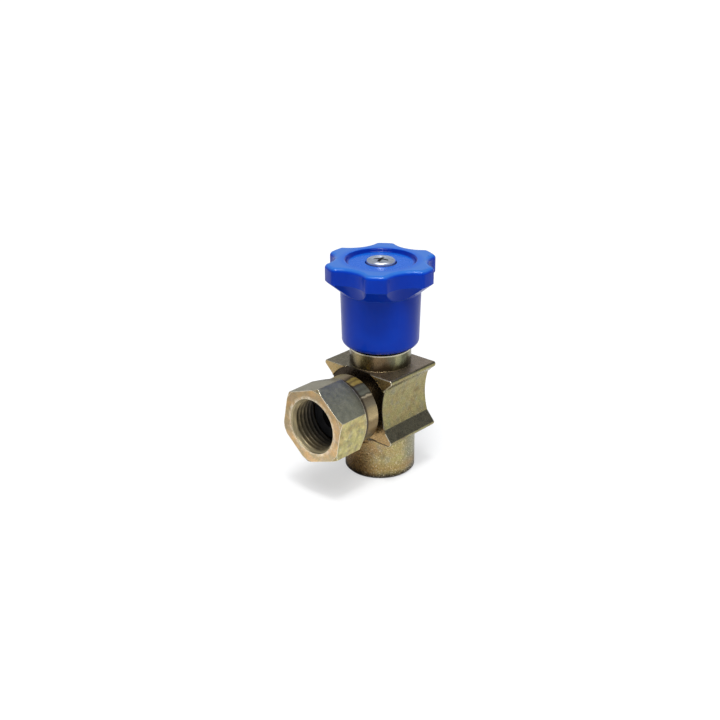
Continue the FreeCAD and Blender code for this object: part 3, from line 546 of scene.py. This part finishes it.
def neck_zinc():
    """The bonnet's neck, banded with painted reflection, with painted shade towards its
    foot and a painted highlight line near its top.
    """
    coat = TurnedCoat("turned_zinc_neck", "Z")
    graph = coat.graph
    # Painted reflection in bands round the neck
    coat.paint(coat.reflection_bands(NECK_REFLECTION_BANDS, 0.75, 0.05), 0.85)
    # Painted shade towards the neck's foot
    coat.paint(PAINTED_SHADE, graph.between(coat.along, BLOCK_TOP + 4.6 * MM, BLOCK_TOP + 1.0 * MM,
                                   0.0, 0.72))
    # Painted highlight line near the neck's top
    brightened = graph.inside(coat.along, BLOCK_TOP + 5.9 * MM, BLOCK_TOP + 6.4 * MM, 0.15 * MM)
    coat.paint(STRAW, brightened, 0.5)
    return coat.finish(0.28 * MM, 0.35 * MM, 0.8, 0.20)


def bronze_front(coat):
    """Mottled bronze of the nut's front: darker above and on the left."""
    graph = coat.graph
    mottle = graph.between(graph.noise(coat.place, 230.0, 5.0, 0.65, 0.8), 0.38, 0.62)
    bronze = graph.mix(mottle, DULL_BRONZE, BRIGHT_BRONZE)
    rose = graph.between(graph.noise(coat.place, 340.0, 4.0, 0.65, 0.6), 0.52, 0.66, 0.0, 0.6)
    bronze = graph.mix(rose, bronze, PINK_BRONZE)
    across, _, height = graph.split(coat.place)
    bronze = graph.scaled(bronze, graph.between(height, NUT_AXIS_HEIGHT + 10 * MM,
                                                NUT_AXIS_HEIGHT - 10 * MM, 0.72, 1.25))
    return graph.scaled(bronze, graph.between(across, -12 * MM, 2 * MM, 0.80, 1.02))


def nut_zinc():
    """The swivel nut: bronze front, clean flats tinted by painted reflection, a collar banded
    with painted reflection, painted shade behind the hexagon and inside, and a painted
    highlight round the bore's mouth.
    """
    coat = TurnedCoat("turned_zinc_nut", "Y", NUT_AXIS)
    graph = coat.graph
    upward = graph.facing((0, 0, 1))
    coat.dim(graph.between(graph.noise(coat.place, 300.0, 4.0, 0.62), 0.36, 0.60, 0.68, 1.06))
    # Painted reflection: flats tinted by the way they face
    coat.paint(BLUE_GREY, graph.between(upward, 0.60, 0.72, 0.0, 0.7))
    coat.paint(DRAB, graph.between(upward, 0.82, 0.90, 0.0, 0.85))
    front = graph.between(graph.facing((0, -1, 0)), 0.90, 0.97)
    coat.paint(bronze_front(coat), front, 0.75)
    # Painted shade on faces that look down
    coat.paint(BROWN, graph.between(graph.facing((0, 0, -1)), 0.3, 0.9, 0.0, 0.4))

    step = -(NUT_REAR + COLLAR_LENGTH)
    outside = graph.between(coat.radius, NUT_WALL_MIDDLE, NUT_WALL_MIDDLE + 0.2 * MM)
    on_collar = graph.times(graph.between(coat.along, step - 0.10 * MM, step + 0.10 * MM), outside)
    # Painted shade on the rear of the hexagon's upper flats
    rear = graph.between(coat.along, step - 5.5 * MM, step - 0.4 * MM)
    coat.paint(PAINTED_SHADE, rear, rear, outside, graph.between(upward, 0.35, 0.6, 0.0, 0.62))
    # Painted reflection in bands round the collar
    coat.paint(coat.reflection_bands(COLLAR_REFLECTION_BANDS, 0.0, 0.012), on_collar, 0.9)
    # Painted shade in the corner at the collar's front
    corner = graph.between(coat.along, step + 1.5 * MM, step + 0.9 * MM, 0.0, 0.85)
    coat.paint(PAINTED_SHADE, on_collar, corner)

    # Painted shade deep in the bore, where no edge highlight is painted
    in_bore = graph.between(coat.radius, NUT_BORE_SIDE + 0.3 * MM, NUT_BORE_SIDE)
    deep = graph.between(coat.along, -NUT_FRONT + 0.9 * MM, -NUT_FRONT + 1.5 * MM)
    hidden = graph.times(in_bore, deep)
    coat.paint(PAINTED_SHADE, hidden, 0.9)
    # Painted highlight round the bore's mouth
    mouth = graph.inside(coat.radius, NUT_BORE_SIDE - 0.6 * MM, NUT_BORE_SIDE + 0.5 * MM,
                         0.35 * MM)
    brightened = graph.noise(coat.place, 420.0, 4.0, 0.65)
    coat.paint(STRAW, mouth, front, graph.between(brightened, 0.38, 0.66, 0.0, 0.55))
    return coat.finish(0.12 * MM, 0.34 * MM, graph.choose(hidden, 0.95, 0.0), 0.30,
                       graph.choose(on_collar, 0.97, 0.70), bright=1.12)


def spigot_zinc():
    """The spigot, nearly all hidden: painted shade where it lies in the nut, and no bright
    edges inside the nut.
    """
    coat = TurnedCoat("turned_zinc_spigot", "Y", NUT_AXIS)
    in_nut = coat.graph.between(coat.along, -NUT_REAR + 1.0 * MM, -NUT_REAR - 2.0 * MM, 0.0, 0.9)
    coat.paint(PAINTED_SHADE, in_nut)
    return coat.finish(0.20 * MM, 0.20 * MM, 0.05, 0.30, bright=0.7)


def moulded_blue():
    """Glossy moulded plastic with a faint orange-peel skin and handling marks. Its top has
    a painted sheen, paler still in a ring round the dish, the dish's steep wall painted
    shade and its edges painted highlight."""
    graph = Graph("moulded_blue")
    place = graph.place()
    radius, along, _ = graph.turned("Z")
    upward = graph.facing((0, 0, 1))
    flow = graph.between(graph.noise(place, 60.0, 3.0, 0.5, 0.6), 0.35, 0.65)
    color = graph.mix(flow, BLUE_DARK, BLUE)
    # Painted sheen on faces that look up
    color = graph.mix(graph.between(upward, 0.3, 0.98), color, BLUE_TOP)
    # Painted sheen, paler still, in a ring round the dish
    rim = graph.between(radius, DISH_RADIUS + 1.0 * MM, DISH_RADIUS + 3.0 * MM, 0.0, 0.7)
    color = graph.mix(graph.times(rim, graph.between(upward, 0.45, 0.8)), color, BLUE_RIM_SHEEN)
    # Painted shade on the dish's steep wall
    high = graph.between(along, DISH_FLOOR - 0.4 * MM, DISH_FLOOR - 0.2 * MM)
    low = graph.between(along, KNOB_TOP - 0.02 * MM, KNOB_TOP - 0.12 * MM)
    near_wall = graph.inside(radius, DISH_RADIUS - 1.1 * MM, DISH_RADIUS + 0.9 * MM, 0.25 * MM)
    color = graph.mix(graph.times(near_wall, high, low, 0.92), color, BLUE_WALL_SHADE)
    soft, edge = graph.soft_edges(0.30 * MM, 0.35 * MM)
    # Painted highlight along the edges
    color = graph.mix(graph.times(edge, 0.6), color, BLUE_EDGE)
    skin = graph.noise(place, 900.0, 2.0, 0.5)
    fine = graph.noise(place, 4200.0, 2.0, 0.5)
    normal = graph.bump(skin, 0.02 * MM, 0.5, soft)
    normal = graph.bump(fine, 0.004 * MM, 0.5, normal)
    marks = graph.between(graph.noise(place, 500.0, 5.0, 0.7, 1.2), 0.5, 0.8)
    rough = graph.choose(marks, 0.11, 0.22)
    rough = graph.math("ADD", rough, graph.between(upward, 0.4, 0.0, 0.0, 0.22))
    in_dish = graph.between(radius, DISH_RADIUS - 1.0 * MM, DISH_RADIUS - 1.8 * MM, 0.0, 0.14)
    rough = graph.math("ADD", rough, in_dish)
    return graph.finish(color=color, rough=rough, normal=normal, specular=0.10,
                        tint=BLUE_GLOSS, coat=0.20, coat_rough=0.06)


def bright_steel():
    """Bright zinc-plated steel with fine scratches."""
    graph = Graph("bright_steel")
    color = graph.tones(400.0, 0.2, rgb(0.50, 0.54, 0.64), rgb(0.68, 0.73, 0.82))
    return graph.finish(color=color, metallic=0.92, rough=graph.gloss(1500.0, 0.30, 0.44),
                        normal=graph.grain(3000.0, 0.015 * MM))


def dark_recess():
    """Inside of the screw's cross: painted shade, as a near-black plating."""
    graph = Graph("dark_recess")
    color = graph.tones(900.0, 0.15, rgb(0.035, 0.038, 0.045), rgb(0.10, 0.11, 0.13))
    return graph.finish(color=color, metallic=0.7, rough=0.5,
                        normal=graph.grain(3000.0, 0.02 * MM))


def polished_steel():
    """Ground and polished steel of the stem, the seat, the ball and the seal's retainer."""
    graph = Graph("polished_steel")
    lines = graph.noise(graph.rings(*graph.turned("Z")), 12000.0, 2.0)
    color = graph.mix(lines, rgb(0.52, 0.53, 0.55), rgb(0.66, 0.67, 0.69))
    return graph.finish(color=color, metallic=1.0, rough=graph.gloss(900.0, 0.10, 0.20),
                        normal=graph.bump(lines, 0.006 * MM, 0.5))


def thread_steel(name, axis, mouth):
    """Inside of a thread: thin coat near the mouth, then painted shade deeper in and on
    faces that look up.
    """
    graph = Graph(name)
    _, along, _ = graph.turned(axis)
    color = graph.tones(350.0, 0.15, THREAD_DARK, THREAD_LIGHT)
    deep = graph.between(along, mouth + 1.5 * MM, mouth + 11.5 * MM)
    color = graph.mix(deep, color, THREAD_DEEP)
    cone = graph.between(along, mouth + 1.5 * MM, mouth + 1.0 * MM)
    color = graph.mix(cone, color, THREAD_CONE)
    upward_shade = graph.between(graph.facing((0, 0, 1)), 0.1, 0.7, 0.0, 0.50)
    color = graph.mix(upward_shade, color, THREAD_SHADE)
    return graph.finish(color=color, metallic=0.95, rough=graph.gloss(1100.0, 0.44, 0.58),
                        normal=graph.grain(3500.0, 0.01 * MM))


def soft_material(name, dark, light, rough_low, rough_high):
    """Rubber or PTFE: even colour with a fine moulded grain."""
    graph = Graph(name)
    return graph.finish(color=graph.tones(500.0, 0.2, dark, light),
                        rough=graph.gloss(900.0, rough_low, rough_high),
                        normal=graph.grain(5000.0, 0.01 * MM, 2.0))


def brass():
    graph = Graph("brass")
    color = graph.tones(300.0, 0.2, rgb(0.55, 0.36, 0.12), rgb(0.72, 0.50, 0.20))
    return graph.finish(color=color, metallic=1.0, rough=graph.gloss(900.0, 0.2, 0.36),
                        normal=graph.grain(2600.0, 0.012 * MM))


def dress_nodes(screw_steel):
    """Give every CAD node its material."""
    polished = polished_steel()
    rubber = soft_material("rubber", rgb(0.010, 0.010, 0.011), rgb(0.022, 0.022, 0.023),
                           0.42, 0.62)
    ptfe = soft_material("ptfe", rgb(0.72, 0.72, 0.70), rgb(0.82, 0.82, 0.80), 0.28, 0.42)
    worn_by = {
        "valve_body": ForgedCoat().finish(),
        "bonnet": neck_zinc(),
        "swivel_nut": nut_zinc(),
        "swivel_spigot": spigot_zinc(),
        "nut_retaining_wire": screw_steel,
        "screw_washer": screw_steel,
        "knob_screw": screw_steel,
        "seal_retainer": polished,
        "valve_seat": polished,
        "sealing_ball": polished,
        "stem": polished,
        "spigot_seal": rubber,
        "gauge_gasket": rubber,
        "bonnet_seal": rubber,
        "stem_o_ring": rubber,
        "stem_wiper": rubber,
        "upper_backup_ring": ptfe,
        "lower_backup_ring": ptfe,
        "knob": moulded_blue(),
        "knob_insert": brass(),
    }
    for name, material in worn_by.items():
        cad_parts[name].data.materials.clear()
        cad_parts[name].data.materials.append(material)


def to_object(name, mesh):
    """An object in the scene made from a mesh under construction."""
    bmesh.ops.recalc_face_normals(mesh, faces=mesh.faces)
    data = bpy.data.meshes.new(name)
    mesh.to_mesh(data)
    mesh.free()
    piece = bpy.data.objects.new(name, data)
    bpy.context.scene.collection.objects.link(piece)
    return piece


def smooth(data, split_angle):
    """Smooth shading, split where faces meet at more than an angle."""
    data.polygons.foreach_set("use_smooth", [True] * len(data.polygons))
    data.set_sharp_from_angle(angle=split_angle)


def fit(piece, material, body):
    """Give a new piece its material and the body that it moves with."""
    piece.data.materials.append(material)
    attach(piece, body)


def thread_height(along):
    """Height of the round-crested thread above its middle, for a place along the axis."""
    from_crest = abs(along % G_PITCH - G_PITCH / 2)
    mirrored = from_crest > G_PITCH / 4
    if mirrored:
        from_crest = G_PITCH / 2 - from_crest
    if from_crest < G_ROUND * math.cos(FLANK_ANGLE):
        height = G_DEPTH / 2 - G_ROUND + math.sqrt(G_ROUND ** 2 - from_crest ** 2)
    else:
        height = (G_PITCH / 4 - from_crest) / math.tan(FLANK_ANGLE)
    return -height if mirrored else height


def internal_thread(name, length, placement):
    """A threaded liner for a bore: the thread inside, a thin wall set into the bore's."""
    steps_round = 120
    steps_a_turn = 20
    root_clearance = 0.02 * MM
    wall = 0.06 * MM
    root = G_MAJOR - root_clearance
    middle = root - G_DEPTH / 2
    rows = round(length / G_PITCH * steps_a_turn)
    mesh = bmesh.new()
    inner_rings, outer_rings = [], []
    for row in range(rows + 1):
        along = length * row / rows
        lift = Vector((0, 0, along))
        cone = root - along * (G_DEPTH / COUNTERSINK_DEPTH)
        inner_ring, outer_ring = [], []
        for step in range(steps_round):
            turn = step / steps_round
            radius = max(middle - thread_height(along - turn * G_PITCH), cone)
            direction = Vector((math.cos(turn * FULL_TURN), math.sin(turn * FULL_TURN), 0))
            inner_ring.append(mesh.verts.new(direction * radius + lift))
            if row in (0, rows):
                outer_ring.append(mesh.verts.new(direction * (G_MAJOR + wall) + lift))
        inner_rings.append(inner_ring)
        if outer_ring:
            outer_rings.append(outer_ring)
    first, last = outer_rings
    for step in range(steps_round):
        after = (step + 1) % steps_round
        for low, high in zip(inner_rings, inner_rings[1:]):
            mesh.faces.new((low[step], high[step], high[after], low[after]))
        mesh.faces.new((first[step], first[after], last[after], last[step]))
        mesh.faces.new((inner_rings[0][step], inner_rings[0][after], first[after], first[step]))
        mesh.faces.new((inner_rings[-1][after], inner_rings[-1][step], last[step], last[after]))
    mesh.transform(placement)
    piece = to_object(name, mesh)
    smooth(piece.data, THREAD_SPLIT)
    return piece


def make_threads():
    """Both ports' threads."""
    port = internal_thread("port_thread", PORT_DEPTH, Matrix.Identity(4))
    fit(port, thread_steel("port_thread_steel", "Z", 0.0), "valve")
    gasket_front = -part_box("gauge_gasket")[0].y
    length = NUT_FRONT - gasket_front - THREAD_RUN_OUT
    to_nut = Matrix.Translation((0, -NUT_FRONT, NUT_AXIS_HEIGHT))
    nut = internal_thread("nut_thread", length, to_nut @ Matrix.Rotation(-math.pi / 2, 4, "X"))
    fit(nut, thread_steel("nut_thread_steel", "Y", -NUT_FRONT), "nut")


def arc_points(centre, radius, start, end, steps):
    """Points of a lathe profile along an arc, in degrees from +X towards +Z."""
    turns = [math.radians(start + (end - start) * k / steps) for k in range(steps + 1)]
    return [(centre[0] + radius * math.cos(t), centre[1] + radius * math.sin(t)) for t in turns]


def lathe(profile, steps):
    """A closed mesh turned round Z. The profile starts and ends on the axis."""
    mesh = bmesh.new()
    foot = mesh.verts.new((0, 0, profile[0][1]))
    tip = mesh.verts.new((0, 0, profile[-1][1]))
    turns = [FULL_TURN * k / steps for k in range(steps)]
    rings = []
    for radius, height in profile[1:-1]:
        rings.append([mesh.verts.new((radius * math.cos(t), radius * math.sin(t), height))
                      for t in turns])
    for k in range(steps):
        after = (k + 1) % steps
        mesh.faces.new((foot, rings[0][after], rings[0][k]))
        for low, high in zip(rings, rings[1:]):
            mesh.faces.new((low[k], low[after], high[after], high[k]))
        mesh.faces.new((rings[-1][k], rings[-1][after], tip))
    return mesh


def cross_outline(arm, half, corner):
    """Outline of a cross with cut inner corners, counterclockwise."""
    quarter = [(arm, -half), (arm, half), (half + corner, half), (half, half + corner)]
    turns = [(1, 0, 0, 1), (0, -1, 1, 0), (-1, 0, 0, -1), (0, 1, -1, 0)]
    return [(a * x + b * y, c * x + d * y) for a, b, c, d in turns for x, y in quarter]


def cross_cutter(top):
    """The driver's shape: a cross whose four wings lean in towards a blunt tip."""
    above = 0.4 * MM
    mesh = bmesh.new()
    # Height, the wings' reach, half their width, and the cut of the corners between them
    layers = [
        (top + above, RECESS_REACH + above * RECESS_LEAN, 0.64 * MM, 0.34 * MM),
        (top - RECESS_DEPTH, RECESS_REACH - RECESS_DEPTH * RECESS_LEAN, 0.42 * MM, 0.22 * MM),
    ]
    rings = [[mesh.verts.new((x, y, height)) for x, y in cross_outline(arm, half, corner)]
             for height, arm, half, corner in layers]
    upper, lower = rings
    count = len(upper)
    for k in range(count):
        after = (k + 1) % count
        mesh.faces.new((lower[k], lower[after], upper[after], upper[k]))
    mesh.faces.new(upper)
    mesh.faces.new(lower[::-1])
    return mesh


def cut_away(piece, cutter):
    """Cut one mesh out of another, and leave no modifier behind."""
    cut = piece.modifiers.new("cut", "BOOLEAN")
    cut.operation = "DIFFERENCE"
    cut.solver = "EXACT"
    cut.object = cutter
    seen = piece.evaluated_get(bpy.context.evaluated_depsgraph_get())
    piece.data = bpy.data.meshes.new_from_object(seen)
    piece.modifiers.clear()
    bpy.data.objects.remove(cutter)


def shank_profile(foot, seat):
    """Lathe profile of the screw's shank: a chamfered end and a row of thread crests."""
    chamfer = 0.5 * MM
    unthreaded = 1.2 * MM
    profile = [(0, foot), (SCREW_ROOT - chamfer, foot)]
    turns = int((seat - foot - unthreaded) / SCREW_PITCH)
    for turn in range(turns):
        height = foot + chamfer + turn * SCREW_PITCH
        profile += [(SCREW_ROOT, height), (SCREW_CREST, height + 0.40 * MM),
                    (SCREW_CREST, height + 0.55 * MM), (SCREW_ROOT, height + 0.95 * MM)]
    return profile + [(SCREW_CREST - 0.2 * MM, seat)]


def head_profile(seat, top, edge, dome):
    """Lathe profile of the screw's head: straight side, round shoulder and low dome."""
    dome_steps = 14
    dome_inset = 0.25 * MM
    shoulder_drop = 0.1 * MM
    foot_centre = (edge - HEAD_FOOT_ROUND, seat + HEAD_FOOT_ROUND)
    shoulder_centre = (edge - HEAD_SHOULDER, top - HEAD_CROWN - shoulder_drop)
    profile = [(edge - HEAD_FOOT_ROUND, seat)]
    profile += arc_points(foot_centre, HEAD_FOOT_ROUND, -90, 0, steps=5)[1:]
    profile += arc_points(shoulder_centre, HEAD_SHOULDER, 0, 62, steps=9)
    reach = math.asin((profile[-1][0] - dome_inset) / dome)
    for k in range(dome_steps):
        tilt = reach * (1 - k / dome_steps)
        profile.append((dome * math.sin(tilt), top - dome + dome * math.cos(tilt)))
    return profile + [(0, top)]


def make_knob_screw(screw_steel):
    """Pan-head screw: rounded head, tapered cross recess and a rolled M6 thread."""
    recess_radius = 3.0 * MM
    dome_error = 0.03 * MM
    low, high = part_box("knob_screw")
    top = high.z
    edge = high.x
    seat = top - HEAD_HEIGHT
    dome = (edge ** 2 + HEAD_CROWN ** 2) / (2 * HEAD_CROWN)
    profile = shank_profile(low.z, seat) + head_profile(seat, top, edge, dome)
    head = to_object("cross_screw", lathe(profile, steps=96))
    cut_away(head, to_object("driver", cross_cutter(top)))
    smooth(head.data, HEAD_SPLIT)
    head.data.transform(Matrix.Rotation(SCREW_TURN, 4, "Z"))
    head.data.materials.clear()
    head.data.materials.append(screw_steel)
    head.data.materials.append(dark_recess())
    # Faces inside the cross take the near-black material: painted shade
    for face in head.data.polygons:
        away = math.hypot(face.center.x, face.center.y)
        under_dome = top - dome + math.sqrt(dome ** 2 - away ** 2) - face.center.z
        in_cross = away < recess_radius and under_dome > dome_error
        if in_cross and face.center.z > seat:
            face.material_index = 1
    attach(head, "stem_and_knob")
    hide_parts("knob_screw")


def look_from(azimuth, elevation):
    """Unit vector from the object towards a viewer. Azimuth 0 stands at -Y."""
    return Vector((math.sin(azimuth) * math.cos(elevation),
                   -math.cos(azimuth) * math.cos(elevation),
                   math.sin(elevation)))


def make_camera():
    back = look_from(CAMERA_AZIMUTH, CAMERA_ELEVATION)
    level = Vector((math.cos(CAMERA_AZIMUTH), math.sin(CAMERA_AZIMUTH), 0))
    upright = back.cross(level)
    right = level * math.cos(CAMERA_ROLL) + upright * math.sin(CAMERA_ROLL)
    up = back.cross(right)
    data = bpy.data.cameras.new("camera")
    data.sensor_width = SENSOR_WIDTH
    data.lens = FOCAL_PIXELS / IMAGE_SIDE * SENSOR_WIDTH
    data.shift_x = (IMAGE_SIDE / 2 - AIM_PIXEL[0]) / IMAGE_SIDE
    data.shift_y = (AIM_PIXEL[1] - IMAGE_SIDE / 2) / IMAGE_SIDE
    data.clip_start = CLIP_START
    camera = bpy.data.objects.new("camera", data)
    turn = Matrix((right, up, back)).transposed().to_4x4()
    camera.matrix_world = Matrix.Translation(AIM_POINT + back * CAMERA_DISTANCE) @ turn
    bpy.context.scene.collection.objects.link(camera)
    bpy.context.scene.camera = camera


def make_floor():
    """A plain pale sheet that throws less light on the part than it shows the camera."""
    data = bpy.data.meshes.new("floor")
    half = FLOOR_HALF_SIDE
    corners = [(-half, -half, 0), (half, -half, 0), (half, half, 0), (-half, half, 0)]
    data.from_pydata(corners, [], [(0, 1, 2, 3)])
    floor = bpy.data.objects.new("floor", data)
    bpy.context.scene.collection.objects.link(floor)
    graph = Graph("floor_paper")
    across, depth, _ = graph.split(graph.place())
    reach = graph.distance(across, depth)
    mirrored = graph.mix(graph.between(reach, FLOOR_NEAR, FLOOR_FAR), PAPER_NEAR, PAPER_FAR)
    shown = graph.mix(graph.noise(graph.place(), 3.0, 2.0, 0.5), PAPER_DARK, PAPER_LIGHT)
    path = graph.nodes.new("ShaderNodeLightPath")
    color = graph.mix(path.outputs["Is Diffuse Ray"], mirrored, PAPER_THROWN)
    color = graph.mix(path.outputs["Is Camera Ray"], color, shown)
    glow = graph.times(path.outputs["Is Camera Ray"], FLOOR_GLOW)
    data.materials.append(graph.finish(color=color, rough=0.9, specular=0.1,
                                       glow=rgb(1, 1, 1), glow_strength=glow))


def sun_light(name, azimuth, elevation, width, strength):
    """Even light from one direction, as wide as a large soft box in degrees."""
    data = bpy.data.lights.new(name, "SUN")
    data.energy = strength
    data.angle = math.radians(width)
    light = bpy.data.objects.new(name, data)
    towards = look_from(math.radians(azimuth), math.radians(elevation))
    light.rotation_mode = "QUATERNION"
    light.rotation_quaternion = towards.to_track_quat("Z", "Y")
    light.location = AIM_POINT + towards
    bpy.context.scene.collection.objects.link(light)


def make_world():
    """Pale to the camera. Reflections see a light horizon and a dim room above it."""
    world = bpy.data.worlds.new("studio")
    bpy.context.scene.world = world
    world.use_nodes = True
    nodes, links = world.node_tree.nodes, world.node_tree.links
    nodes.clear()
    place = nodes.new("ShaderNodeTexCoord")
    split = nodes.new("ShaderNodeSeparateXYZ")
    links.new(place.outputs["Generated"], split.inputs[0])
    ramp = nodes.new("ShaderNodeValToRGB")
    links.new(split.outputs["Z"], ramp.inputs[0])
    fill_ramp(ramp, [(up, grey * 0.94, grey, grey * 1.08) for up, grey in ROOM_GREYS])
    room = nodes.new("ShaderNodeBackground")
    links.new(ramp.outputs[0], room.inputs[0])
    pale = nodes.new("ShaderNodeBackground")
    pale.inputs[0].default_value = rgb(0.99, 0.99, 0.99)
    path = nodes.new("ShaderNodeLightPath")
    either = nodes.new("ShaderNodeMixShader")
    links.new(path.outputs["Is Camera Ray"], either.inputs[0])
    links.new(room.outputs[0], either.inputs[1])
    links.new(pale.outputs[0], either.inputs[2])
    output = nodes.new("ShaderNodeOutputWorld")
    links.new(either.outputs[0], output.inputs[0])


def make_studio():
    make_camera()
    make_floor()
    make_world()
    sun_light("key", *KEY_LIGHT)
    sun_light("fill", *FILL_LIGHT)
    view = bpy.context.scene.view_settings
    view.view_transform = "Standard"
    view.look = "None"


plated_steel = bright_steel()
dress_nodes(plated_steel)
make_threads()
make_knob_screw(plated_steel)
make_studio()
